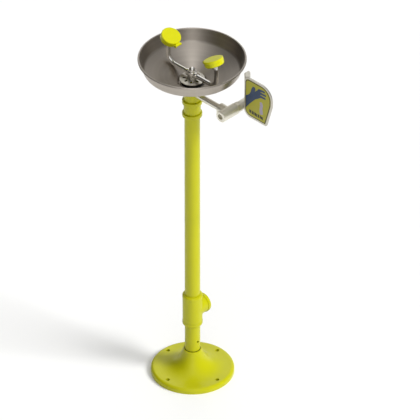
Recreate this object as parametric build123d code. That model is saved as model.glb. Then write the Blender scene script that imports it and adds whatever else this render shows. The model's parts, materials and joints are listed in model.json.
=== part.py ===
from build123d import *
import math
import os

# Pedestal eyewash station. Millimetres, +Z up, origin at the centre of the base where it meets the floor.
# The user stands at -Y and faces +Y: +X is the user's right, where the valve and its flag handle are.

os.makedirs("parts", exist_ok=True)

# ---- clearances
seat_gap = 0.05        # between pieces that are screwed or pressed together
running_gap = 0.05     # between a shaft and the hole that it turns in
free_gap = 0.4         # between pieces that pass each other

# ---- overall
rim_height = 1035.0        # top of the bowl above the floor; everything above the column follows it
rim_radius = 146.0

# ---- pipe column, 1-1/4 in pipe
pipe_radius = 21.08
pipe_wall = 3.56
pipe_engagement = 17.0     # how far a pipe screws into a fitting

# ---- floor flange
base_radius = 114.5
base_thickness = 16.0
base_edge_round = 9.0
base_wall = 7.0
flare_radius = 92.0        # where the trumpet runs out into the flat rim
hub_radius = 25.6
hub_top = 75.0
hub_pipe_seat = 34.0
anchor_circle = 190.5
anchor_hole_radius = 5.5
anchor_count = 4
rim_inner_radius = 78.0
hub_shoulder = 5.0         # web below the pipe's end

# ---- lower pipe and waste tee
weep_hole_radius = 3.6
weep_hole_height = 105.0
stopper_thickness = 6.0
tee_height = 208.5         # height of the waste outlet's axis
tee_half_run = 50.0
tee_branch_reach = 47.0
tee_radius = 27.2
tee_branch_radius = 26.4
tee_band_radius = 27.9
tee_band_length = 11.0
tee_end_round = 5.0
tee_crotch_round = 7.0
outlet_thread_length = 18.0

# ---- coupling and drain body
coupling_bottom = rim_height - 185.5
coupling_length = 52.0
coupling_radius = 23.0
coupling_band_radius = 27.2
coupling_band_length = 11.5
coupling_band_round = 1.8
drain_radius = 22.4
drain_bore = 17.6
drain_flange_radius = 34.0
drain_flange_thickness = 6.0
drain_flare = 12.0         # height of the cone from the body out to the flange
drain_thread_radius = 21.5
drain_web = 6.0            # rib opposite the supply bridge
supply_height = rim_height - 111.0     # height of the side supply's axis
bridge_radius = 10.6
bridge_passage = 5.5
hub_radius_inside = 12.0
hub_bottom = supply_height - 12.0
hub_height = 28.0
riser_engagement = 10.0

# ---- bowl
rim_roll = 2.6             # radius of the rolled edge
bowl_sheet = 1.4
wall_drop = 36.0           # rim down to the wall's foot
wall_foot_radius = rim_radius - 15.0
floor_bend = 7.0
sump_radius = 38.0
sump_edge_height = rim_height - 72.0
sump_depth = 9.0
sump_bend = 3.0
gasket_thickness = 2.5
gasket_width = 9.0
locknut_radius = 29.0
locknut_thickness = 6.0
notch_count = 4
notch_width = 6.0
notch_depth = 3.0
notch_floor = 2.0
washer_thickness = 1.5
washer_radius = 31.0

# ---- riser, strainer and yoke
riser_radius = 8.55
riser_bore = 6.2
strainer_radius = 34.0
strainer_height = sump_edge_height + 4.5    # underside of the strainer's edge
strainer_sheet = 2.0
strainer_crown = 1.5
strainer_nut_flats = 22.0
strainer_nut_thickness = 3.2
riser_collar_radius = 12.0
riser_collar_thickness = 3.0
slot_count = 8
slot_width = 6.0
slot_length = 10.0
slot_circle_radius = 21.5
slot_first_angle = -6.0
yoke_radius = 12.5
yoke_half_height = 9.5
yoke_boss_radius = 9.2
yoke_boss_reach = 17.0
yoke_passage = 5.0
yoke_chamfer = 1.2
yoke_socket_depth = 6.5
cap_nut_flats = 20.0
cap_nut_height = 2.5
cap_dome_radius = 9.4
cap_spigot_radius = 6.0
cap_spigot_length = 3.0

# ---- arms
arm_height = rim_height - 51.0
arm_radius = 6.35
arm_wall = 0.9
arm_socket_depth = 7.0
upright_reach = 91.0       # from the centre out to the upright part of each arm
arm_bend = 27.0
neck_bend = 14.0
arm_collar_radius = 7.2
arm_collar_thickness = 1.5

# ---- spray heads
head_tilt = 24.0
head_top_reach = 78.2      # centre of a closed cover's top face
head_top_height = rim_height + 35.0
cover_radius = 27.6
cover_height = 7.5
cover_recess = 3.5
cover_rim = 2.6
cover_round = 2.5
head_radius = 27.0
head_height = 10.5
head_wall = 2.2
head_floor = 3.0
head_round = 3.5
plate_thickness = 1.6
plate_drop = 2.5           # spray plate's top below the cup's mouth
jet_radius = 0.9
jet_rings = ((6, 7.0), (12, 14.0), (18, 20.5))
flow_disc_radius = 11.0
flow_disc_thickness = 2.5
flow_hole_radius = 2.2
plate_ledge = 1.4
stem_radius = 7.2
stem_bore = 3.5
stem_length = 5.0
swivel_nut_flats = 18.0
swivel_nut_length = 9.0
lug_width = 14.0
lug_radius = 3.2
hinge_reach = 30.8         # from the head's axis to the hinge pin
hinge_rise = 0.5           # hinge pin above the cover's lower edge
hinge_pin_radius = 1.5
ear_thickness = 3.0
ear_gap = 0.5
cover_swing = 110.0

# ---- side supply and in-line strainer
line_reach = 136.0         # from the centre out to the axis of the strainer housing and valve
nipple_radius = 8.57       # 3/8 in pipe
nipple_bore = 6.25
nipple_engagement = 9.0
filter_radius = 15.9
filter_front = -30.0
filter_back = 26.0
filter_groove = 0.9
filter_bore = 11.5
filter_outlet_bore = 7.0
filter_boss_radius = 14.6
filter_boss_reach = 31.0
plug_thread_length = 10.0
plug_thread_radius = 12.4
plug_rim = 2.5
plug_chamfer = 1.2
plug_socket_flats = 15.5
plug_socket_depth = 9.0
o_ring_radius = 1.2
screen_radius = 8.0
screen_wall = 0.8
screen_hole_radius = 1.5
screen_rows = 5
screen_columns = 10
plug_nose_radius = 9.95
plug_nose_length = 3.4
filter_shoulder = 20.0
spigot_radius = 10.3
spigot_length = 12.0

# ---- ball valve, placed by distances along its pipe (Y) and out along its stem (X)
valve_axis_back = 55.0     # Y of the stem's axis
valve_hex_flats = 26.0
valve_hex_length = 15.0
valve_radius = 13.6
valve_body_back = 69.0
valve_back = 84.0
cavity_radius = 9.5
cap_thread_radius = 11.4
cap_nose_reach = 8.9       # from the stem's axis to the end cap's nose
cap_hex_flats = 27.0
inlet_thread_radius = 10.3
inlet_thread_length = 13.0
ball_radius = 9.0
ball_bore = 5.2
ball_slot_depth = 2.0
seat_radius = 8.4
seat_thickness = 2.4
seat_clearance = 0.3
stem_shaft_radius = 4.0
stem_collar_radius = 5.2
stem_collar_thickness = 1.0
stem_collar_lift = 0.2     # above the ball
stem_key_width = 3.2
stem_flats = 5.6
stem_thread_radius = 3.0
stem_thread_length = 7.5
bonnet_radius = 8.0
bonnet_reach = 14.2
gland_radius = 6.0
gland_floor = 10.9
packing_thickness = 1.5
packing_nut_flats = 14.0
packing_nut_head = 1.4

# ---- flag handle and sign
handle_reach = 152.0       # X of the inner face of the upright flange
handle_sheet = 3.0
flange_front = 45.0        # Y of the flange's front edge and of the sign's face
flange_back = 64.5
flange_top = rim_height + 3.5
flange_corner = 8.0
flange_front_corner = 2.0
sign_margin = 6.0
label_gap = 1.0            # from the flange's outer face to the label's left edge
label_width = 94.0
label_height = 114.5
label_top = rim_height - 10.0
label_thickness = 0.5
label_left_round = 14.0
label_foot_round = 18.0
label_shoulder_round = 34.0
label_waist_round = 40.0
label_point_round = 2.0
label_waist_drop = 48.0    # straight part of the right edge ends here, below the top
label_slant = 19.5         # how far the lower right corner is drawn in
handle_nut_flats = 10.0
handle_nut_thickness = 3.5
handle_washer_radius = 7.0
handle_washer_thickness = 1.2
handle_swing = 90.0


standing = (Align.CENTER, Align.CENTER, Align.MIN)


def write(name, shape):
    """Write one node, keeping every separate solid of a group."""
    solids = shape.solids()
    body = solids[0] if len(solids) == 1 else Compound(children=list(solids))
    body.label = name
    export_step(body, os.path.join("parts", name + ".step"))


def turned(points):
    """A solid turned about +Z from an outline of (radius, height) points."""
    with BuildPart() as part:
        with BuildSketch(Plane.XZ):
            with BuildLine():
                Polyline(*points, close=True)
            make_face()
        revolve(axis=Axis.Z)
    return part.part


def ring(outer, inner, low, high):
    """A plain tube about +Z."""
    return turned([(inner, low), (outer, low), (outer, high), (inner, high)])


def rod(radius, low, high):
    """A plain cylinder about +Z."""
    return Pos(0, 0, low) * Cylinder(radius, high - low, align=standing)


def hexagon(flats, low, high):
    """A plain hexagonal bar about +Z."""
    sketch = RegularPolygon(flats / 2, 6, major_radius=False)
    return Pos(0, 0, low) * extrude(sketch, high - low)


def nut_blank(flats, low, high, ends=(True, True)):
    """A hexagon whose corners are turned off at 30 degrees at its low end, its high end or both."""
    across_corners = flats / math.sqrt(3)
    face = 0.97 * flats / 2
    drop = (across_corners - face) * math.tan(math.radians(30))
    bottom = [(face, low), (across_corners, low + drop)] if ends[0] else [(across_corners, low)]
    top = [(across_corners, high - drop), (face, high)] if ends[1] else [(across_corners, high)]
    return hexagon(flats, low, high) & turned([(0, low)] + bottom + top + [(0, high)])


def along(direction, centre):
    """The placement that turns +Z to a direction, at a centre."""
    return Plane(origin=centre, z_dir=direction).location


def circles(shape, height):
    """The round edges of a turned shape at one height."""
    round_edges = shape.edges().filter_by(GeomType.CIRCLE)
    return round_edges.filter_by(lambda edge: abs(edge.center().Z - height) < 1e-3)


def outermost(edges):
    """The largest of some round edges."""
    return max(edges, key=lambda edge: edge.radius)


# ================= pipe column


def make_base_flange():
    """Trumpet casting, hollow below, with four anchor holes in its flat rim."""
    rim_top = base_thickness
    with BuildPart() as part:
        with BuildSketch(Plane.XZ):
            with BuildLine():
                hub_foot = (hub_radius, hub_top)
                Bezier(
                    hub_foot,
                    (hub_radius + 8.5, 0.6 * hub_top),
                    (hub_radius + 22.5, rim_top),
                    (flare_radius, rim_top),
                )
                Line((flare_radius, rim_top), (base_radius - base_edge_round, rim_top))
                RadiusArc(
                    (base_radius - base_edge_round, rim_top),
                    (base_radius, rim_top - base_edge_round),
                    base_edge_round,
                )
                Line((base_radius, rim_top - base_edge_round), (base_radius, 0))
                Line((base_radius, 0), (rim_inner_radius, 0))
                Line((rim_inner_radius, 0), (rim_inner_radius, rim_top - base_wall))
                Bezier(
                    (rim_inner_radius, rim_top - base_wall),
                    (hub_radius + 24, rim_top - base_wall),
                    (hub_radius + 12, hub_pipe_seat - 2 * hub_shoulder),
                    (hub_radius + 3, hub_pipe_seat - hub_shoulder),
                )
                Polyline(
                    (hub_radius + 3, hub_pipe_seat - hub_shoulder),
                    (pipe_radius - pipe_wall, hub_pipe_seat - hub_shoulder),
                    (pipe_radius - pipe_wall, hub_pipe_seat),
                    (pipe_radius + seat_gap, hub_pipe_seat),
                    (pipe_radius + seat_gap, hub_top),
                    hub_foot,
                )
            make_face()
        revolve(axis=Axis.Z)
        with PolarLocations(anchor_circle / 2, anchor_count):
            Hole(anchor_hole_radius)
    return part.part


def make_lower_pipe():
    top = tee_height - tee_half_run + pipe_engagement
    pipe = ring(pipe_radius, pipe_radius - pipe_wall, hub_pipe_seat + seat_gap, top)
    weep = along((1, 0, 0), (0, 0, weep_hole_height)) * rod(weep_hole_radius, 0, pipe_radius + 1)
    return pipe - weep


def make_pipe_stopper():
    """Disc pressed into the top of the lower pipe."""
    top = tee_height - tee_half_run + pipe_engagement
    return rod(pipe_radius - pipe_wall - seat_gap, top - stopper_thickness, top)


def make_drain_tee():
    """Tee with raised bands at its three ends, and a threaded side outlet along +Y."""
    low = tee_height - tee_half_run
    high = tee_height + tee_half_run
    sideways = along((0, 1, 0), (0, 0, tee_height))
    body = rod(tee_radius, low, high) + sideways * rod(tee_branch_radius, 0, tee_branch_reach)
    crotch = body.edges().filter_by(lambda edge: edge.geom_type not in (GeomType.CIRCLE, GeomType.LINE))
    body = fillet(crotch, tee_crotch_round)
    for start in (low, high - tee_band_length):
        band = rod(tee_band_radius, start, start + tee_band_length)
        body += band
    body += sideways * rod(tee_band_radius, tee_branch_reach - tee_band_length, tee_branch_reach)
    mouth = body.edges().filter_by(GeomType.CIRCLE).sort_by(Axis.Y)[-1]
    body = fillet([outermost(circles(body, low)), outermost(circles(body, high)), mouth], tee_end_round)
    bore = pipe_radius - pipe_wall
    body -= rod(bore, low - 1, high + 1)
    body -= rod(pipe_radius + seat_gap, low - 1, low + pipe_engagement)
    body -= rod(pipe_radius + seat_gap, high - pipe_engagement, high + 1)
    body -= sideways * rod(bore, 0, tee_branch_reach + 1)
    body -= sideways * rod(pipe_radius, tee_branch_reach - outlet_thread_length, tee_branch_reach + 1)
    return body


coupling_top = coupling_bottom + coupling_length
joint_height = coupling_bottom + coupling_length / 2


def make_main_pipe():
    low = tee_height + tee_half_run - pipe_engagement + seat_gap
    return ring(pipe_radius, pipe_radius - pipe_wall, low, joint_height - free_gap / 2)


def make_pedestal_coupling():
    """Barrel with a raised band at each end."""
    bore = pipe_radius + seat_gap
    barrel = ring(coupling_radius, bore, coupling_bottom, coupling_top)
    for low in (coupling_bottom, coupling_top - coupling_band_length):
        high = low + coupling_band_length
        band = ring(coupling_band_radius, bore, low, high)
        corners = [outermost(circles(band, height)) for height in (low, high)]
        barrel += fillet(corners, coupling_band_round)
    return barrel


# ================= drain body and bowl

sump_floor = sump_edge_height - sump_depth
drain_top = sump_floor - bowl_sheet - gasket_thickness
locknut_bottom = sump_floor + washer_thickness


def make_drain_body():
    """Casting with a waste passage round a central hub that turns the side supply upwards."""
    tail = joint_height + free_gap / 2
    thread_top = locknut_bottom + locknut_thickness + 1
    flange_low = drain_top - drain_flange_thickness
    shell = turned([
        (drain_bore, tail), (pipe_radius, tail),
        (pipe_radius, coupling_top + seat_gap), (drain_radius, coupling_top + seat_gap),
        (drain_radius, flange_low - drain_flare), (drain_flange_radius, flange_low),
        (drain_flange_radius, drain_top), (drain_thread_radius, drain_top),
        (drain_thread_radius, thread_top), (drain_bore, thread_top),
    ])
    centre = (0, 0, supply_height)
    hub = rod(hub_radius_inside, hub_bottom, hub_bottom + hub_height)
    bridge = along((1, 0, 0), centre) * rod(bridge_radius, 0, drain_bore + 1)
    web = Box(drain_bore + 1, drain_web, hub_height)
    web = Pos(-(drain_bore + 1) / 2, 0, hub_bottom + hub_height / 2) * web
    body = shell + hub + bridge + web
    body -= along((1, 0, 0), centre) * rod(bridge_passage, 0, drain_radius)
    inner_end = drain_radius - nipple_engagement
    body -= along((1, 0, 0), centre) * rod(nipple_radius + seat_gap, inner_end, drain_radius + 1)
    top = hub_bottom + hub_height
    body -= rod(bridge_passage, supply_height, top)
    body -= rod(riser_radius + seat_gap, top - riser_engagement, top + 1)
    return body


def make_bowl():
    """Spun bowl: steep wall, conical floor, flat sump with a hole, and a rolled rim."""
    roll_centre = (rim_radius - rim_roll, rim_height - rim_roll)
    foot = rim_height - wall_drop
    with BuildPart() as part:
        with BuildSketch(Plane.XZ):
            with BuildLine() as sheet:
                FilletPolyline(
                    (drain_thread_radius + 0.2, sump_floor - bowl_sheet),
                    (sump_radius + bowl_sheet, sump_floor - bowl_sheet),
                    (sump_radius + bowl_sheet, sump_edge_height - bowl_sheet),
                    (wall_foot_radius, foot),
                    roll_centre,
                    radius=[sump_bend, sump_bend, floor_bend],
                )
                offset(amount=bowl_sheet, side=Side.LEFT)
            make_face()
            with Locations(roll_centre):
                Circle(rim_roll)
        revolve(axis=Axis.Z)
    return part.part


def make_bowl_gasket():
    bore = drain_thread_radius + seat_gap
    return ring(drain_thread_radius + gasket_width, bore, drain_top, sump_floor - bowl_sheet)


def make_bowl_washer():
    return ring(washer_radius, drain_thread_radius + seat_gap, sump_floor, locknut_bottom)


def make_bowl_locknut():
    """Ring nut with four spanner notches."""
    top = locknut_bottom + locknut_thickness
    nut = ring(locknut_radius, drain_thread_radius + seat_gap, locknut_bottom, top)
    notch = Box(2 * notch_depth, notch_width, locknut_thickness, align=(Align.MIN, Align.CENTER, Align.MIN))
    for count in range(notch_count):
        turn = Rot(0, 0, 45 + 360 / notch_count * count)
        nut -= turn * Pos(locknut_radius - notch_depth, 0, locknut_bottom + notch_floor) * notch
    return nut


# ================= riser, strainer and yoke

riser_bottom = hub_bottom + hub_height - riser_engagement + seat_gap
strainer_seat = strainer_height + strainer_crown
yoke_bottom = arm_height - yoke_half_height
yoke_top = arm_height + yoke_half_height


def make_supply_riser():
    """Centre pipe with a turned collar that the strainer rests on."""
    pipe = ring(riser_radius, riser_bore, riser_bottom, yoke_bottom + yoke_socket_depth - seat_gap)
    collar_low = strainer_seat - riser_collar_thickness
    return pipe + ring(riser_collar_radius, riser_radius - 1, collar_low, strainer_seat)


def make_strainer():
    """Slightly domed disc with radial slots."""
    edge = strainer_height
    hole = riser_radius + seat_gap
    flat = riser_collar_radius + 2
    disc = turned([
        (hole, edge + strainer_crown),
        (flat, edge + strainer_crown),
        (strainer_radius, edge),
        (strainer_radius, edge + strainer_sheet),
        (flat, edge + strainer_crown + strainer_sheet),
        (hole, edge + strainer_crown + strainer_sheet),
    ])
    slot = extrude(SlotOverall(slot_length, slot_width), strainer_crown + 3 * strainer_sheet)
    for count in range(slot_count):
        turn = Rot(0, 0, slot_first_angle + 360 / slot_count * count)
        disc -= turn * Pos(slot_circle_radius, 0, edge - strainer_sheet) * slot
    return disc


def make_strainer_nut():
    low = strainer_seat + strainer_sheet
    nut = nut_blank(strainer_nut_flats, low, low + strainer_nut_thickness)
    return nut - rod(riser_radius + seat_gap, low - 1, low + strainer_nut_thickness + 1)


def make_yoke():
    """Round block with a socket for each arm, the riser below and a capped opening above."""
    body = rod(yoke_radius, yoke_bottom, yoke_top)
    body = chamfer([outermost(circles(body, yoke_top)), outermost(circles(body, yoke_bottom))], yoke_chamfer)
    centre = (0, 0, arm_height)
    for side in (1, -1):
        body += along((side, 0, 0), centre) * rod(yoke_boss_radius, 0, yoke_boss_reach)
    for side in (1, -1):
        body -= along((side, 0, 0), centre) * rod(yoke_passage, 0, yoke_boss_reach + 1)
        low = yoke_boss_reach - arm_socket_depth
        body -= along((side, 0, 0), centre) * rod(arm_radius + seat_gap, low, yoke_boss_reach + 1)
    body -= rod(riser_radius + seat_gap, yoke_bottom - 1, yoke_bottom + yoke_socket_depth)
    body -= rod(yoke_passage, yoke_bottom, arm_height)
    body -= rod(cap_spigot_radius + seat_gap, yoke_top - cap_spigot_length - 0.5, yoke_top + 1)
    return body


def make_yoke_cap_nut():
    low = yoke_top + seat_gap
    hexed = nut_blank(cap_nut_flats, low, low + cap_nut_height + 1)
    dome = Pos(0, 0, low + cap_nut_height) * Sphere(cap_dome_radius)
    dome &= rod(cap_dome_radius + 1, low + cap_nut_height - 0.5, low + cap_nut_height + cap_dome_radius + 1)
    return hexed + dome + rod(cap_spigot_radius, yoke_top - cap_spigot_length, low + 1)


# ================= arms and heads, made on the +X side and turned round for the other side

tilt_sine = math.sin(math.radians(head_tilt))
tilt_cosine = math.cos(math.radians(head_tilt))
cup_top = -cover_height - free_gap
cup_bottom = cup_top - head_height
stem_bottom = cup_bottom - stem_length
arm_end = stem_bottom - seat_gap
hinge_drop = -cover_height + hinge_rise
hinge_centre = (hinge_reach, 0, hinge_drop)
plate_top = cup_top - plate_drop

# The head's own frame: origin at the closed cover's top face, Z up the head's axis, X towards the hinge.
head_frame = Plane(
    origin=(head_top_reach, 0, head_top_height),
    x_dir=(-tilt_cosine, 0, -tilt_sine),
    z_dir=(-tilt_sine, 0, tilt_cosine),
).location


def on_axis(distance):
    """A point on the head's axis, as (X, Z) in the station's frame."""
    return (head_top_reach - distance * tilt_sine, head_top_height + distance * tilt_cosine)


def make_arm():
    """Bent tube: level from the yoke, upright, then tilted in line with the head, with a collar at the end."""
    start = (yoke_boss_reach - arm_socket_depth + seat_gap, arm_height)
    elbow = (upright_reach, arm_height)
    neck = (upright_reach, head_top_height - (upright_reach - head_top_reach) * tilt_cosine / tilt_sine)
    end = on_axis(arm_end)
    points = [(point[0], 0, point[1]) for point in (start, elbow, neck, end)]
    with BuildPart() as part:
        with BuildLine() as path:
            FilletPolyline(*points, radius=[arm_bend, neck_bend])
        with BuildSketch(Plane(origin=points[0], z_dir=(1, 0, 0))):
            Circle(arm_radius)
            Circle(arm_radius - arm_wall, mode=Mode.SUBTRACT)
        sweep()
    collar = ring(arm_collar_radius, arm_radius - arm_wall / 2, arm_end - arm_collar_thickness, arm_end)
    return part.part + head_frame * collar


def make_swivel_nut():
    """Hexagon nut that draws the arm's collar up to the head's threaded stem."""
    top = cup_bottom - free_gap
    shoulder = arm_end - arm_collar_thickness - seat_gap
    nut = nut_blank(swivel_nut_flats, top - swivel_nut_length, top)
    nut -= rod(stem_radius + seat_gap, shoulder, top + 1)
    nut -= rod(arm_radius + seat_gap, top - swivel_nut_length - 1, shoulder + 1)
    return head_frame * nut


def make_head():
    """Moulded cup with a threaded stem below, a ledge for the spray plate and two hinge ears."""
    inner = head_radius - head_wall
    below_plate = plate_top - plate_thickness
    floor = cup_bottom + head_floor
    outer = turned([
        (0, stem_bottom), (stem_radius, stem_bottom), (stem_radius, cup_bottom),
        (head_radius, cup_bottom), (head_radius, cup_top), (0, cup_top),
    ])
    outer = fillet(outermost(circles(outer, cup_bottom)), head_round)
    hinge_axis = (0, 1, 0)
    for side in (1, -1):
        middle = side * (lug_width / 2 + ear_gap + ear_thickness / 2)
        outline = Polyline(
            (head_radius - 2.5, cup_top - 5), (hinge_reach + 0.5, cup_top - 5),
            (hinge_reach + lug_radius, cup_top - 2),
            (hinge_reach + lug_radius, hinge_drop), (hinge_reach, hinge_drop), (head_radius + 0.6, cup_top),
            (head_radius - 2.5, cup_top), close=True,
        )
        ear = extrude(Plane.XZ * make_face(outline), ear_thickness / 2, both=True)
        knuckle = along(hinge_axis, hinge_centre) * Cylinder(lug_radius, ear_thickness)
        outer += Pos(0, middle, 0) * (ear + knuckle)
    body = outer - rod(inner, below_plate, cup_top + 1)
    body -= rod(inner - plate_ledge, floor, below_plate + 1)
    body -= rod(stem_bore, stem_bottom - 1, floor + 1)
    body -= along(hinge_axis, hinge_centre) * Cylinder(hinge_pin_radius + seat_gap, 4 * lug_width)
    return head_frame * body


def make_spray_plate():
    """Perforated outlet disc with rings of jets."""
    low = plate_top - plate_thickness + seat_gap
    plate = rod(head_radius - head_wall - seat_gap, low, plate_top)
    for count, reach in jet_rings:
        jets = [Pos(*place) for place in ring_places(count, reach, low - 1)]
        plate -= [jet * rod(jet_radius, 0, plate_thickness + 2) for jet in jets]
    return head_frame * plate


def ring_places(count, reach, height):
    """Evenly spaced points on a circle about Z."""
    angles = [2 * math.pi * index / count for index in range(count)]
    return [(reach * math.cos(angle), reach * math.sin(angle), height) for angle in angles]


def make_flow_disc():
    low = cup_bottom + head_floor + seat_gap
    return head_frame * ring(flow_disc_radius, flow_hole_radius, low, low + flow_disc_thickness)


def make_hinge_pin():
    length = lug_width + 2 * (ear_gap + ear_thickness)
    return head_frame * (along((0, 1, 0), hinge_centre) * Cylinder(hinge_pin_radius, length))


def make_dust_cover():
    """Shallow cap with one hinge lug."""
    cap = rod(cover_radius, -cover_height, 0)
    cap = fillet(outermost(circles(cap, 0)), cover_round)
    cap -= rod(cover_radius - cover_rim, -cover_height - 1, -cover_height + cover_recess)
    lug_low = -cover_height + free_gap
    lug_high = hinge_drop + lug_radius
    arm_length = hinge_reach - (cover_radius - cover_rim)
    lug = Box(arm_length, lug_width, lug_high - lug_low)
    lug = Pos(hinge_reach - arm_length / 2, 0, (lug_low + lug_high) / 2) * lug
    knuckle = along((0, 1, 0), hinge_centre) * Cylinder(lug_radius, lug_width)
    bore = along((0, 1, 0), hinge_centre) * Cylinder(hinge_pin_radius + running_gap, 2 * lug_width)
    return head_frame * (cap + lug + knuckle - bore)


# ================= side supply and in-line strainer

# The supply line's own frame: Z along the pipe towards +Y, X out towards +X, origin beside the pedestal.
line_frame = Plane(origin=(line_reach, 0, supply_height), x_dir=(1, 0, 0), z_dir=(0, 1, 0)).location
nipple_start = drain_radius - nipple_engagement + seat_gap
nipple_end = line_reach - filter_boss_reach + nipple_engagement - seat_gap
plug_seat = filter_front + plug_rim
nose_start = plug_seat + plug_thread_length
nose_end = nose_start + plug_nose_length


def make_supply_nipple():
    nipple = ring(nipple_radius, nipple_bore, nipple_start, nipple_end)
    return along((1, 0, 0), (0, 0, supply_height)) * nipple


def make_filter_body():
    """Housing along Y: side port to the nipple, screen chamber, and a spigot into the valve."""
    groove = filter_back - 3
    outline = [
        (0, plug_seat + seat_gap), (filter_radius, plug_seat + seat_gap), (filter_radius, groove - 1),
        (filter_radius - filter_groove, groove - 0.5), (filter_radius - filter_groove, groove + 0.5),
        (filter_radius, groove + 1), (filter_radius, filter_back - 1), (filter_radius - 1, filter_back),
        (spigot_radius, filter_back), (spigot_radius, filter_back + spigot_length),
        (0, filter_back + spigot_length),
    ]
    body = turned(outline) + along((-1, 0, 0), (0, 0, 0)) * rod(filter_boss_radius, 0, filter_boss_reach)
    body = chamfer(body.edges().filter_by(GeomType.CIRCLE).sort_by(Axis.X)[0], 1.0)
    thread_end = plug_seat + plug_thread_length
    body -= rod(plug_thread_radius + seat_gap, plug_seat - 1, thread_end)
    body -= rod(filter_bore, thread_end - 1, filter_shoulder)
    body -= rod(filter_outlet_bore, filter_shoulder - 1, filter_back + spigot_length + 1)
    port = along((-1, 0, 0), (0, 0, 0))
    body -= port * rod(nipple_bore, filter_bore - 2, filter_boss_reach + 1)
    body -= port * rod(nipple_radius + seat_gap, filter_boss_reach - nipple_engagement, filter_boss_reach + 1)
    return line_frame * body


def make_filter_plug():
    """Screwed end plug with a hexagonal socket and a nose that carries the seal."""
    plug = rod(filter_radius, filter_front, plug_seat)
    plug = chamfer(outermost(circles(plug, filter_front)), plug_chamfer)
    plug += rod(plug_thread_radius, plug_seat - 0.5, nose_start - seat_gap)
    plug += rod(plug_nose_radius, nose_start - 0.5, nose_end)
    plug -= hexagon(plug_socket_flats, filter_front - 1, filter_front + plug_socket_depth)
    return line_frame * plug


def make_plug_o_ring():
    middle = nose_start + o_ring_radius + seat_gap
    thin = min(o_ring_radius, (filter_bore - plug_nose_radius) / 2 - seat_gap)
    return line_frame * (Pos(0, 0, middle) * Torus(plug_nose_radius + seat_gap + thin, thin))


def make_filter_screen():
    """Perforated tube from the plug's nose to the housing's shoulder."""
    low = nose_end + seat_gap
    high = filter_shoulder - seat_gap
    screen = ring(screen_radius, screen_radius - screen_wall, low, high)
    pitch = (high - low) / screen_rows
    drill = along((1, 0, 0), (0, 0, 0)) * rod(screen_hole_radius, screen_radius - 3, screen_radius + 3)
    for row in range(screen_rows):
        height = low + pitch * (row + 0.5)
        for column in range(screen_columns):
            turn = 360 / screen_columns * (column + 0.5 * (row % 2))
            screen -= Pos(0, 0, height) * Rot(0, 0, turn) * drill
    return line_frame * screen


# ================= ball valve

stem_out = along((1, 0, 0), (0, 0, valve_axis_back))     # the stem's direction in the supply line's frame
body_front = filter_back + seat_gap
seat_face = seat_clearance + math.sqrt(ball_radius**2 - ball_bore**2)
collar_low = ball_radius + stem_collar_lift
collar_high = collar_low + stem_collar_thickness
key_turn = 90              # the closed valve's key lies across the pipe
packing_top = gland_floor + packing_thickness


def make_valve_body():
    """Hexagon end on the strainer's spigot, round ball chamber, and a bonnet for the stem."""
    hex_end = body_front + valve_hex_length
    body = nut_blank(valve_hex_flats, body_front, hex_end) + rod(valve_radius, hex_end - 1, valve_body_back)
    body += stem_out * rod(bonnet_radius, 0, bonnet_reach)
    seat_back = valve_axis_back - seat_face - seat_thickness
    body -= rod(spigot_radius + seat_gap, body_front - 1, filter_back + spigot_length + seat_gap)
    body -= rod(ball_bore, body_front, valve_axis_back)
    body -= rod(seat_radius + seat_gap, seat_back - seat_gap, valve_axis_back)
    body -= rod(cavity_radius, valve_axis_back - seat_face - 0.2, valve_body_back)
    body -= rod(cap_thread_radius + seat_gap, valve_axis_back + cap_nose_reach - 1, valve_body_back + 1)
    body -= stem_out * rod(stem_collar_radius + seat_gap, 0, collar_high + 0.1)
    body -= stem_out * rod(stem_shaft_radius + running_gap, 0, bonnet_reach)
    body -= stem_out * rod(gland_radius, gland_floor, bonnet_reach + 1)
    return line_frame * body


def make_valve_end_cap():
    """Screwed inlet end: seat pocket in its nose, hexagon outside, pipe thread at the back."""
    nose = valve_axis_back + cap_nose_reach
    body = rod(cap_thread_radius, nose, valve_body_back + 1)
    body += nut_blank(cap_hex_flats, valve_body_back + seat_gap, valve_back)
    seat_back = valve_axis_back + seat_face + seat_thickness
    body -= rod(ball_bore, nose - 1, valve_back)
    body -= rod(seat_radius + seat_gap, nose - 1, seat_back + seat_gap)
    body -= rod(inlet_thread_radius, valve_back - inlet_thread_length, valve_back + 1)
    return line_frame * body


def make_ball_seats():
    """Two rings, one each side of the ball."""
    near = ring(seat_radius, ball_bore, 0, seat_thickness)
    first = Pos(0, 0, valve_axis_back - seat_face - seat_thickness) * near
    second = Pos(0, 0, valve_axis_back + seat_face) * near
    return line_frame * Compound(children=[first, second])


def make_valve_ball():
    """Ball with its bore upright in the closed valve, and a slot for the stem's key."""
    centre = (0, 0, valve_axis_back)
    ball = Pos(*centre) * Sphere(ball_radius)
    ball -= along((0, 1, 0), centre) * Cylinder(ball_bore, 3 * ball_radius)
    slot_low = ball_radius - ball_slot_depth - 0.1
    slot_width_with_gap = stem_key_width + 2 * running_gap
    slot = Box(3 * ball_radius, slot_width_with_gap, ball_slot_depth + 1, align=standing)
    ball -= stem_out * (Rot(0, 0, key_turn) * Pos(0, 0, slot_low) * slot)
    return line_frame * ball



def make_valve_stem():
    """Stem with a key in the ball, a blow-out collar, two flats for the handle and a threaded end."""
    key = Box(1.8 * stem_collar_radius, stem_key_width, ball_slot_depth + 0.5, align=standing)
    key = Rot(0, 0, key_turn) * Pos(0, 0, ball_radius - ball_slot_depth) * key
    flats_start = handle_reach - line_reach - 0.1
    flats_end = handle_reach - line_reach + handle_sheet
    stem = key & rod(stem_collar_radius, 0, collar_high)
    stem += rod(stem_collar_radius, collar_low, collar_high)
    stem += rod(stem_shaft_radius, collar_low, flats_start)
    stem += flatted(stem_shaft_radius, stem_flats, flats_start - 0.5, flats_end)
    stem += rod(stem_thread_radius, flats_end - 0.5, flats_end + stem_thread_length)
    return line_frame * (stem_out * stem)


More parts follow.
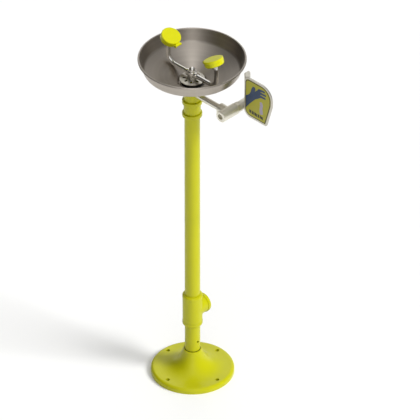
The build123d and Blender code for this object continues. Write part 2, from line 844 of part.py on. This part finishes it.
def flatted(radius, flats, low, high):
    """A round bar with two flats."""
    bar = Pos(0, 0, low) * Box(3 * radius, flats, high - low, align=standing)
    return rod(radius, low, high) & bar


def make_stem_packing():
    packing = ring(gland_radius - seat_gap, stem_shaft_radius + running_gap, gland_floor, packing_top)
    return line_frame * (stem_out * packing)


def make_packing_nut():
    """Gland nut: threaded skirt on the packing and a thin hexagon head."""
    head_low = bonnet_reach + seat_gap
    nut = rod(gland_radius - seat_gap, packing_top, head_low + 0.5)
    nut += nut_blank(packing_nut_flats, head_low, head_low + packing_nut_head, (False, True))
    nut -= rod(stem_shaft_radius + running_gap, packing_top - 1, head_low + packing_nut_head + 1)
    return line_frame * (stem_out * nut)


# ================= flag handle and sign

flange_outer = handle_reach + handle_sheet
label_left = flange_outer + label_gap


def label_outline():
    """The sign's outline on XZ: straight left edge, big round shoulder, slanted lower right side."""
    left = label_left
    right = label_left + label_width
    low = label_top - label_height
    corners = Polyline(
        (left, label_top), (right, label_top), (right, label_top - label_waist_drop),
        (right - label_slant, low), (left, low), close=True,
    )
    face = make_face(corners)
    rounds = (
        ((left, label_top), label_left_round), ((right, label_top), label_shoulder_round),
        ((right, label_top - label_waist_drop), label_waist_round),
        ((right - label_slant, low), label_point_round),
        ((left, low), label_foot_round),
    )
    for place, radius in rounds:
        corner = face.vertices().sort_by_distance((place[0], place[1], 0))[0]
        face = fillet(corner, radius)
    return face


def upright_plate(face, front, thickness):
    """Stands an outline drawn as (X, Z) up in the XZ plane and thickens it towards +Y."""
    return Pos(0, front + thickness, 0) * extrude(Plane.XZ * face, thickness)


def make_flag_handle():
    """Bent plate: an upright flange on the valve stem, turned at its front edge into the sign plate."""
    sign = offset(label_outline(), amount=sign_margin)
    sign_plate = upright_plate(sign, flange_front, handle_sheet)
    trim = Pos(handle_reach, flange_front, supply_height) * Box(
        400, 400, 600, align=(Align.MIN, Align.CENTER, Align.CENTER))
    sign_plate &= trim
    foot_radius = (flange_back - flange_front) / 2
    foot_centre = (flange_front + flange_back) / 2
    with BuildPart() as flange:
        with BuildSketch(Plane.YZ):
            with Locations((foot_centre, (supply_height + flange_top) / 2)):
                Rectangle(flange_back - flange_front, flange_top - supply_height)
            with Locations((foot_centre, supply_height)):
                Circle(foot_radius)
        extrude(amount=handle_sheet)
    plate = Pos(handle_reach, 0, 0) * flange.part
    for side, radius in ((flange_back, flange_corner), (flange_front, flange_front_corner)):
        corner = plate.edges().filter_by(Axis.X).sort_by_distance((flange_outer, side, flange_top))[0]
        plate = fillet(corner, radius)
    body = plate + sign_plate
    inner = handle_reach - line_reach
    radius = stem_shaft_radius + seat_gap
    hole = flatted(radius, stem_flats + 2 * seat_gap, inner - 1, inner + handle_sheet + 1)
    return body - line_frame * (stem_out * hole)


def make_flag_label():
    return upright_plate(label_outline(), flange_front - label_thickness, label_thickness)


def make_handle_washer():
    low = flange_outer - line_reach + seat_gap
    washer = ring(handle_washer_radius, stem_thread_radius + seat_gap, low, low + handle_washer_thickness)
    return line_frame * (stem_out * washer)


def make_handle_nut():
    low = flange_outer - line_reach + handle_washer_thickness + 2 * seat_gap
    nut = nut_blank(handle_nut_flats, low, low + handle_nut_thickness)
    return line_frame * (stem_out * (nut - rod(stem_thread_radius + seat_gap, low - 1, low + 20)))


single_pieces = {
    "base_flange": make_base_flange,
    "lower_pipe": make_lower_pipe,
    "pipe_stopper": make_pipe_stopper,
    "drain_tee": make_drain_tee,
    "main_pipe": make_main_pipe,
    "pedestal_coupling": make_pedestal_coupling,
    "drain_body": make_drain_body,
    "bowl_gasket": make_bowl_gasket,
    "bowl": make_bowl,
    "bowl_washer": make_bowl_washer,
    "bowl_locknut": make_bowl_locknut,
    "supply_riser": make_supply_riser,
    "strainer": make_strainer,
    "strainer_nut": make_strainer_nut,
    "yoke": make_yoke,
    "yoke_cap_nut": make_yoke_cap_nut,
    "supply_nipple": make_supply_nipple,
    "filter_body": make_filter_body,
    "filter_plug": make_filter_plug,
    "plug_o_ring": make_plug_o_ring,
    "filter_screen": make_filter_screen,
    "valve_body": make_valve_body,
    "valve_end_cap": make_valve_end_cap,
    "ball_seats": make_ball_seats,
    "valve_ball": make_valve_ball,
    "valve_stem": make_valve_stem,
    "stem_packing": make_stem_packing,
    "packing_nut": make_packing_nut,
    "flag_handle": make_flag_handle,
    "flag_label": make_flag_label,
    "handle_washer": make_handle_washer,
    "handle_nut": make_handle_nut,
}

paired_pieces = {
    "arm": make_arm,
    "swivel_nut": make_swivel_nut,
    "head": make_head,
    "spray_plate": make_spray_plate,
    "flow_disc": make_flow_disc,
    "hinge_pin": make_hinge_pin,
    "dust_cover": make_dust_cover,
}

for name, make in single_pieces.items():
    write(name, make())

for name, make in paired_pieces.items():
    piece = make()
    write("right_" + name, piece)
    write("left_" + name, Rot(0, 0, 180) * piece)
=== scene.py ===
import json
import math

import bmesh
import bpy
from mathutils import Matrix, Vector


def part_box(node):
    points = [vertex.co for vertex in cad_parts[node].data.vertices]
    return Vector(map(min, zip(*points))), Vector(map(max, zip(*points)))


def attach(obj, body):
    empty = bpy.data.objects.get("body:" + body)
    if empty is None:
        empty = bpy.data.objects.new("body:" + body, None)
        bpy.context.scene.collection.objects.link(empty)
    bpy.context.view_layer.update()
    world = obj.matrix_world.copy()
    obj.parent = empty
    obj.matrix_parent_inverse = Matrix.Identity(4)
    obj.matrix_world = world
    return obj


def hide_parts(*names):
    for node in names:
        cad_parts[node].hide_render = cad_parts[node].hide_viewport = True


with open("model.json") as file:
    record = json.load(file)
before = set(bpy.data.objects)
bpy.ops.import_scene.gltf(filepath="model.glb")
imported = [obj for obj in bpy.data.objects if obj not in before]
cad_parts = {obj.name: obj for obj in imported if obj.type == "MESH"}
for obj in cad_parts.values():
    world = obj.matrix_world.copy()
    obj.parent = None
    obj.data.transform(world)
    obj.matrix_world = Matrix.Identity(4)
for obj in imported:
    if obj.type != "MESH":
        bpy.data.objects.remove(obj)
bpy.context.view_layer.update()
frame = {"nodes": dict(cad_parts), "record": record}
print("frame loaded:", len(frame["nodes"]), "nodes")

mm = 0.001


def linear(red, green, blue):  # screen colour 0 to 255, as scene-linear
    parts = [value / 255 for value in (red, green, blue)]
    return tuple(p / 12.92 if p <= 0.04045 else ((p + 0.055) / 1.055) ** 2.4 for p in parts) + (1.0,)


# shader maths: a Wire stands for one output socket, and Python's operators add Math nodes
class Wire:
    def __init__(self, tree, out):
        self.tree = tree
        self.out = out

    def math(self, operation, *values):
        node = self.tree.nodes.new("ShaderNodeMath")
        node.operation = operation
        for slot, value in zip(node.inputs, values):
            feed(self.tree, slot, value)
        return Wire(self.tree, node.outputs[0])

    def __add__(self, other):
        return self.math("ADD", self, other)

    def __radd__(self, other):
        return self.math("ADD", other, self)

    def __mul__(self, other):
        return self.math("MULTIPLY", self, other)

    def __rmul__(self, other):
        return self.math("MULTIPLY", other, self)

    def root(self):
        return self.math("SQRT", self)


def feed(tree, slot, value):
    if isinstance(value, Wire):
        tree.links.new(value.out, slot)
    else:
        slot.default_value = value


class Finish:  # one material: nodes are added by kind, settings first and sockets second
    def __init__(self, name, **fixed):
        self.material = bpy.data.materials.new(name)
        self.material.use_nodes = True
        self.tree = self.material.node_tree
        self.shader = self.tree.nodes["Principled BSDF"]
        self.set(**fixed)

    def set(self, **values):
        for key, value in values.items():
            feed(self.tree, self.shader.inputs[key.replace("_", " ")], value)

    def node(self, kind, settings=None, sockets=None, out=0):
        node = self.tree.nodes.new("ShaderNode" + kind)
        for key, value in (settings or {}).items():
            setattr(node, key, value)
        for key, value in (sockets or {}).items():
            feed(self.tree, node.inputs[key], value)
        return Wire(self.tree, node.outputs[out])

    def place(self):  # the point in the station's own frame, in metres
        return self.node("TexCoord", out="Object")

    def split(self, vector):
        node = self.tree.nodes.new("ShaderNodeSeparateXYZ")
        feed(self.tree, node.inputs[0], vector)
        return [Wire(self.tree, out) for out in node.outputs]

    def joined(self, x, y, z):
        return self.node("CombineXYZ", None, {"X": x, "Y": y, "Z": z})

    def noise(self, size, detail=3.0, rough=0.55, where=None, stretch=None):
        where = where or self.place()
        if stretch:
            where = self.node("Mapping", None, {"Vector": where, "Scale": stretch})
        return self.node("TexNoise", {"noise_dimensions": "3D"}, {
            "Vector": where, "Scale": 1 / size, "Detail": detail, "Roughness": rough})

    def blend(self, factor, first, second):
        return self.node("Mix", {"data_type": "RGBA"}, {0: factor, 6: first, 7: second}, out=2)

    def bump(self, height, depth, after=None):
        sockets = {"Height": height, "Distance": depth, "Strength": 1.0}
        if after:
            sockets["Normal"] = after
        return self.node("Bump", None, sockets)


def powderCoat(name, cast):  # lime-yellow powder coat: fine orange peel, over castings a coarser skin
    look = dict(colour=linear(192, 190, 2), shade=linear(180, 180, 2), peel=1.6 * mm, peelDepth=0.05 * mm,
                castGrain=3.5 * mm, castDepth=0.25 * mm)
    coat = Finish(name, Coat_Weight=0.12, Coat_Roughness=0.12, Specular_IOR_Level=0.3)
    drift = coat.noise(60 * mm, 2.0)
    peel = coat.noise(look["peel"], 2.0)
    coat.set(Base_Color=coat.blend(drift, look["colour"], look["shade"]), Roughness=0.34 + peel * 0.10)
    skin = coat.bump(peel, look["peelDepth"])
    if cast:
        skin = coat.bump(coat.noise(look["castGrain"], 3.0, 0.6), look["castDepth"], after=skin)
    coat.set(Normal=skin)
    return coat.material


def spunSteel(name):  # stainless bowl: fine rings left by spinning, with faint uneven bands
    steel = Finish(name, Metallic=1.0, Anisotropic=0.85, Anisotropic_Rotation=0.25)
    x, y, z = steel.split(steel.place())
    radius = (x * x + y * y).root()
    rings = steel.noise(0.35 * mm, 2.0, 0.7, where=steel.joined(radius, z * 0.5, 0.0))
    bands = steel.noise(9 * mm, 2.0, 0.5, where=steel.joined(radius, z, 0.0))
    cloud = steel.noise(70 * mm, 2.0)
    steel.set(Base_Color=steel.blend(bands, linear(172, 164, 154), linear(192, 184, 174)),
              Roughness=0.30 + rings * 0.10 + cloud * 0.08, Normal=steel.bump(rings, 0.02 * mm))
    return steel.material


def satinSteel(name, tone, grain, rough):  # sheet or bar stock, grained along one direction
    steel = Finish(name, Metallic=1.0)
    lines = steel.noise(1.0, 3.0, 0.6, stretch=grain)
    cloud = steel.noise(25 * mm, 2.0)
    steel.set(Base_Color=steel.blend(cloud, tone, tuple(0.86 * part for part in tone[:3]) + (1.0,)),
              Roughness=rough + lines * 0.12, Normal=steel.bump(lines, 0.02 * mm))
    return steel.material


def castSteel(name):  # investment-cast fittings, bead-blasted: fine even grain
    steel = Finish(name, Metallic=0.85)
    grit = steel.noise(0.7 * mm, 3.0, 0.7)
    cloud = steel.noise(14 * mm, 2.0)
    steel.set(Base_Color=steel.blend(cloud, linear(236, 233, 218), linear(220, 216, 202)),
              Roughness=0.36 + grit * 0.14, Normal=steel.bump(grit, 0.04 * mm))
    return steel.material


def brightPlate(name):  # chrome plate with faint wipe marks
    plate = Finish(name, Metallic=1.0)
    wipe = plate.noise(6 * mm, 3.0)
    plate.set(Base_Color=linear(240, 237, 231), Roughness=0.14 + wipe * 0.12,
              Normal=plate.bump(plate.noise(1.2 * mm, 2.0), 0.008 * mm))
    return plate.material


def moulded(name, light, deep, rough, grain=0.5 * mm, depth=0.02 * mm, sheen=0.2):  # plastic or rubber
    plastic = Finish(name, Coat_Weight=sheen, Coat_Roughness=0.2, Specular_IOR_Level=0.3)
    cloud = plastic.noise(20 * mm, 2.0)
    texture = plastic.noise(grain, 2.0)
    plastic.set(Base_Color=plastic.blend(cloud, light, deep), Roughness=rough + texture * 0.1,
                Normal=plastic.bump(texture, depth))
    return plastic.material


finishes = {
    "powder_coat": powderCoat("pipePowderCoat", False),
    "castCoat": powderCoat("castPowderCoat", True),
    "bowl_steel": spunSteel("spunBowlSteel"),
    "plate_steel": satinSteel("satinSheetSteel", linear(206, 202, 191), (900, 900, 60), 0.30),
    "pipe_steel": satinSteel("satinPipeSteel", linear(222, 218, 206), (80, 900, 900), 0.26),
    "cast_steel": castSteel("castFittingSteel"),
    "chrome": brightPlate("brightChrome"),
    "head_plastic": moulded("lemonPlastic", linear(208, 206, 0), linear(200, 199, 0), 0.36, sheen=0.08),
    "black_rubber": moulded("blackRubber", linear(28, 28, 28), linear(20, 20, 20), 0.7, sheen=0.0),
    "seal_plastic": moulded("whiteSeal", linear(235, 235, 230), linear(222, 222, 216), 0.5),
    # black plastic; on the bowl's locknut this black is partly painted shade, darkening the shaded gap under
    # the strainer
    "black_plastic": moulded("blackPlastic", linear(24, 24, 24), linear(18, 18, 18), 0.5),
    "label_film": moulded("oliveFilm", linear(178, 172, 34), linear(168, 163, 40), 0.4, grain=0.3 * mm),
    "navyInk": moulded("navyInk", linear(52, 72, 104), linear(46, 64, 96), 0.42, grain=0.3 * mm),
    "paleInk": moulded("paleInk", linear(176, 166, 184), linear(164, 154, 172), 0.42, grain=0.3 * mm),
    "darkInk": moulded("darkInk", linear(58, 56, 26), linear(50, 48, 24), 0.42, grain=0.3 * mm),
}
print("finishes made:", len(finishes))

castNodes = {"base_flange", "drain_tee", "pedestal_coupling", "drain_body"}
slotOf = {entry["node"]: entry["material_slot"] for entry in frame["record"]["subparts"]}
for name, node in frame["nodes"].items():
    finish = finishes["castCoat"] if name in castNodes else finishes[slotOf[name]]
    node.data.materials.clear()
    node.data.materials.append(finish)
print("CAD nodes finished")


def newPiece(name, mesh, finish, body, smooth=35):  # one finished piece, in place, riding on its body
    bmesh.ops.recalc_face_normals(mesh, faces=mesh.faces)
    data = bpy.data.meshes.new(name)
    mesh.to_mesh(data)
    mesh.free()
    for face in data.polygons:
        face.use_smooth = True
    data.set_sharp_from_angle(angle=math.radians(smooth))
    data.materials.append(finishes[finish])
    piece = bpy.data.objects.new(name, data)
    bpy.context.scene.collection.objects.link(piece)
    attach(piece, body)
    return piece


def chain(mesh, points):  # a run of vertices joined by edges, in the XZ plane
    verts = [mesh.verts.new((x * mm, 0, z * mm)) for x, z in points]
    for pair in zip(verts, verts[1:]):
        mesh.edges.new(pair)
    return verts


def fullTurn(mesh, steps):  # the profile spun once round the station's axis and closed
    bmesh.ops.spin(mesh, geom=mesh.verts[:] + mesh.edges[:], cent=(0, 0, 0), axis=(0, 0, 1),
                   angle=2 * math.pi, steps=steps, use_merge=True, use_duplicate=False)
    bmesh.ops.remove_doubles(mesh, verts=mesh.verts, dist=0.01 * mm)


def roundCorner(mesh, corner, offset, segments):
    bmesh.ops.bevel(mesh, geom=[corner], offset=offset * mm, offset_type="OFFSET", segments=segments,
                    profile=0.5, affect="VERTICES", material=-1)


def makeBowl():  # one sheet spun round the centre: sump, cone, steep wall and a curled rim
    bowl = dict(sheet=1.4, hole=21.7, sumpRadius=38.0, sumpFloor=954.0, sumpEdge=963.0, foot=(131.0, 999.0),
                footDrop=0.4, steps=160, curl=2.3, curlTurn=250.0, curlSteps=10, footBend=5.0, sumpBend=2.5)
    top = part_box("bowl")[1]
    half = bowl["sheet"] / 2
    rim = (top[0] / mm - bowl["curl"] - half, top[2] / mm - bowl["curl"] - half)
    curl = []
    for step in range(bowl["curlSteps"] + 1):  # the edge turns up, over and down outside
        angle = math.pi - step * math.radians(bowl["curlTurn"]) / bowl["curlSteps"]
        curl.append((rim[0] + bowl["curl"] * math.cos(angle), rim[1] + bowl["curl"] * math.sin(angle)))
    mesh = bmesh.new()
    verts = chain(mesh, [
        (bowl["hole"], bowl["sumpFloor"] - half), (bowl["sumpRadius"] + half, bowl["sumpFloor"] - half),
        (bowl["sumpRadius"] + half, bowl["sumpEdge"] - half),
        (bowl["foot"][0] - half, bowl["foot"][1] - bowl["footDrop"])] + curl)
    foot = verts[3]
    for corner in verts[1:3]:
        roundCorner(mesh, corner, bowl["sumpBend"], 4)
    roundCorner(mesh, foot, bowl["footBend"], 6)
    fullTurn(mesh, bowl["steps"])
    piece = newPiece("spunBowl", mesh, "bowl_steel", "station", smooth=60)
    wall = piece.modifiers.new("sheet", "SOLIDIFY")
    wall.thickness = bowl["sheet"] * mm
    wall.offset = 0
    wall.use_even_offset = True
    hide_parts("bowl")


def makeLabelArt():  # print on the flag's film: a dark border and a hand held open under a jet of water
    art = dict(
        proud=0.08, buried=0.05, border=2.6, margin=0.4, slant=19.5, waist=48.0,
        rounds=(14.0, 34.0, 40.0, 2.0, 18.0),  # the border's corners, clockwise from the upper left
        cornerSteps=10, handRound=1.1, jetRound=2.0, barRound=0.6, barTilt=0.2,
        # outlines from the film's upper left corner, right then down
        hand=[(1.5, 56), (14, 46), (20, 36), (23, 24), (29, 14), (36, 14), (38, 20), (36, 27), (44, 20),
              (50, 11.5), (72, 9.5), (75, 12), (72, 15.5), (57, 18), (57, 20), (76, 19.5), (78.5, 22.5),
              (76, 25.5), (57, 27), (57, 29.5), (74, 29.5), (77, 32.5), (74, 35.5), (57, 37.5), (46, 46),
              (37, 52), (28, 62), (16, 76), (1.5, 95)],
        jet=[(54, 52), (62, 50), (66, 60), (64, 72), (66, 88), (56, 92), (53, 78), (55, 64)],
        bars=[(15, 93, 8, 10), (25, 93.5, 7, 10.5), (34, 94, 10, 10), (46, 94, 7, 10.5), (55, 94.5, 11, 9.5)],
    )
    low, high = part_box("flag_label")
    left, right, top, bottom, front = (value / mm for value in (low[0], high[0], high[2], low[2], low[1]))

    def flat(name, outlines, finish, corner):
        mesh = bmesh.new()
        for outline in outlines:
            mesh.faces.new([mesh.verts.new(((left + u) * mm, (front + art["buried"]) * mm, (top - v) * mm))
                            for u, v in outline])
        bmesh.ops.bevel(mesh, geom=mesh.verts[:], offset=corner * mm, offset_type="OFFSET", segments=3,
                        profile=0.5, affect="VERTICES", clamp_overlap=True, material=-1)
        return thicken(name, mesh, finish)

    def thicken(name, mesh, finish):
        raised = bmesh.ops.extrude_face_region(mesh, geom=mesh.faces[:])
        moved = [item for item in raised["geom"] if isinstance(item, bmesh.types.BMVert)]
        bmesh.ops.translate(mesh, verts=moved, vec=(0, -(art["proud"] + art["buried"]) * mm, 0))
        return newPiece(name, mesh, finish, "flag")

    mesh = bmesh.new()
    gap = art["margin"]
    corners = [(left + gap, top - gap), (right - gap, top - gap), (right - gap, top - art["waist"]),
               (right - art["slant"] - gap, bottom + gap), (left + gap, bottom + gap)]
    verts = [mesh.verts.new((x * mm, (front + art["buried"]) * mm, z * mm)) for x, z in corners]
    mesh.faces.new(verts)
    for index, radius in enumerate(art["rounds"]):
        sharp = Vector(corners[index])
        corner = min(mesh.verts, key=lambda vert: (Vector((vert.co.x, vert.co.z)) / mm - sharp).length)
        before = Vector(corners[index - 1]) - sharp
        after = Vector(corners[(index + 1) % len(corners)]) - sharp
        roundCorner(mesh, corner, radius / math.tan(before.angle(after) / 2), art["cornerSteps"])
    bmesh.ops.inset_region(mesh, faces=mesh.faces[:], thickness=art["border"] * mm, use_even_offset=True,
                           use_boundary=True)
    inner = max(mesh.faces, key=lambda face: face.calc_area())
    bmesh.ops.delete(mesh, geom=[inner], context="FACES")
    thicken("labelBorder", mesh, "darkInk")
    flat("labelHand", [art["hand"]], "navyInk", art["handRound"])
    flat("labelJet", [art["jet"]], "paleInk", art["jetRound"])
    tilt = art["barTilt"]
    flat("labelBars", [[(u, v), (u + w, v + tilt * w), (u + w, v + h + tilt * w), (u, v + h)]
                       for u, v, w, h in art["bars"]], "darkInk", art["barRound"])


def makeHubShadowRing():  # dark ring of painted shadow where the column enters the flange's hub, standing in for the shaded gap there
    shadowRing = dict(radius=21.5, height=75.1, tubeRadius=0.95, sides=10, steps=96)
    mesh = bmesh.new()
    centre = Matrix.Translation((shadowRing["radius"] * mm, 0, shadowRing["height"] * mm))
    bmesh.ops.create_circle(mesh, cap_ends=False, segments=shadowRing["sides"], radius=shadowRing["tubeRadius"] * mm,
                            matrix=centre @ Matrix.Rotation(math.radians(90), 4, "X"))
    fullTurn(mesh, shadowRing["steps"])
    newPiece("hubShadowRing", mesh, "black_rubber", "station")


makeBowl()
print("bowl spun")
# painted shadow: a dark ring for the shaded gap at the hub's top
makeHubShadowRing()
print("hub sealed")
makeLabelArt()
print("label art made")


# floor, lights and camera
stand = dict(
    target=Vector((0, 0, 0.5175)), azimuth=45.0, elevation=35.5, distance=22.6,
    lens=716.7, slide=0.0477, lift=0.0156,
)


def makeFloor():
    look = dict(size=30.0, colour=linear(250, 250, 249))
    mesh = bmesh.new()
    bmesh.ops.create_grid(mesh, x_segments=1, y_segments=1, size=look["size"])
    data = bpy.data.meshes.new("floor")
    mesh.to_mesh(data)
    mesh.free()
    floor = bpy.data.objects.new("floor", data)
    bpy.context.scene.collection.objects.link(floor)
    paint = Finish("paleFloor", Base_Color=look["colour"], Roughness=0.9, Specular_IOR_Level=0.1)
    data.materials.append(paint.material)


def makeCamera():
    azimuth, elevation = math.radians(stand["azimuth"]), math.radians(stand["elevation"])
    level = math.cos(elevation)
    back = Vector((math.sin(azimuth) * level, -math.cos(azimuth) * level, math.sin(elevation)))
    right = Vector((math.cos(azimuth), math.sin(azimuth), 0))
    up = back.cross(right)
    data = bpy.data.cameras.new("camera")
    data.lens = stand["lens"]
    data.clip_end = 200
    camera = bpy.data.objects.new("camera", data)
    camera.location = stand["target"] + right * stand["slide"] + up * stand["lift"] + back * stand["distance"]
    camera.rotation_euler = Matrix((right, up, back)).transposed().to_euler()
    bpy.context.scene.collection.objects.link(camera)
    bpy.context.scene.camera = camera


def makeLights():
    look = dict(
        levels=((0.0, 0.03), (0.20, 0.07), (0.34, 0.50), (0.5, 1.35), (0.68, 0.5), (0.82, 0.28), (1.0, 0.26)),
        keyPower=2.75, keyAngle=22.0, keyAzimuth=66.0, keyHeight=38.0)
    world = bpy.data.worlds.new("studio")
    world.use_nodes = True
    tree = world.node_tree
    ramp = tree.nodes.new("ShaderNodeValToRGB")  # dim on the user's left, bright on the valve side
    for index, (place, level) in enumerate(look["levels"]):
        stop = ramp.color_ramp.elements[index] if index < 2 else ramp.color_ramp.elements.new(place)
        stop.position = place
        stop.color = (level, level, level, 1)
    where = tree.nodes.new("ShaderNodeTexCoord")
    turn = tree.nodes.new("ShaderNodeVectorMath")
    turn.operation = "DOT_PRODUCT"
    bright = math.radians(stand["azimuth"])
    turn.inputs[1].default_value = (0.5 * math.cos(bright), 0.5 * math.sin(bright), 0)
    lift = tree.nodes.new("ShaderNodeMath")
    lift.inputs[1].default_value = 0.5
    tree.links.new(where.outputs["Generated"], turn.inputs[0])
    tree.links.new(turn.outputs["Value"], lift.inputs[0])
    tree.links.new(lift.outputs[0], ramp.inputs[0])
    tree.links.new(ramp.outputs[0], tree.nodes["Background"].inputs["Color"])
    bpy.context.scene.world = world
    data = bpy.data.lights.new("keySun", "SUN")
    data.energy = look["keyPower"]
    data.angle = math.radians(look["keyAngle"])
    key = bpy.data.objects.new("keySun", data)
    turnKey, liftKey = math.radians(look["keyAzimuth"]), math.radians(look["keyHeight"])
    flat = math.cos(liftKey)
    towards = Vector((math.sin(turnKey) * flat, math.cos(turnKey) * flat, math.sin(liftKey)))
    key.visible_glossy = False
    key.rotation_euler = towards.to_track_quat("Z", "Y").to_euler()
    bpy.context.scene.collection.objects.link(key)
    bpy.context.scene.view_settings.view_transform = "Standard"


makeFloor()
makeCamera()
makeLights()
print("floor, camera and lights set")
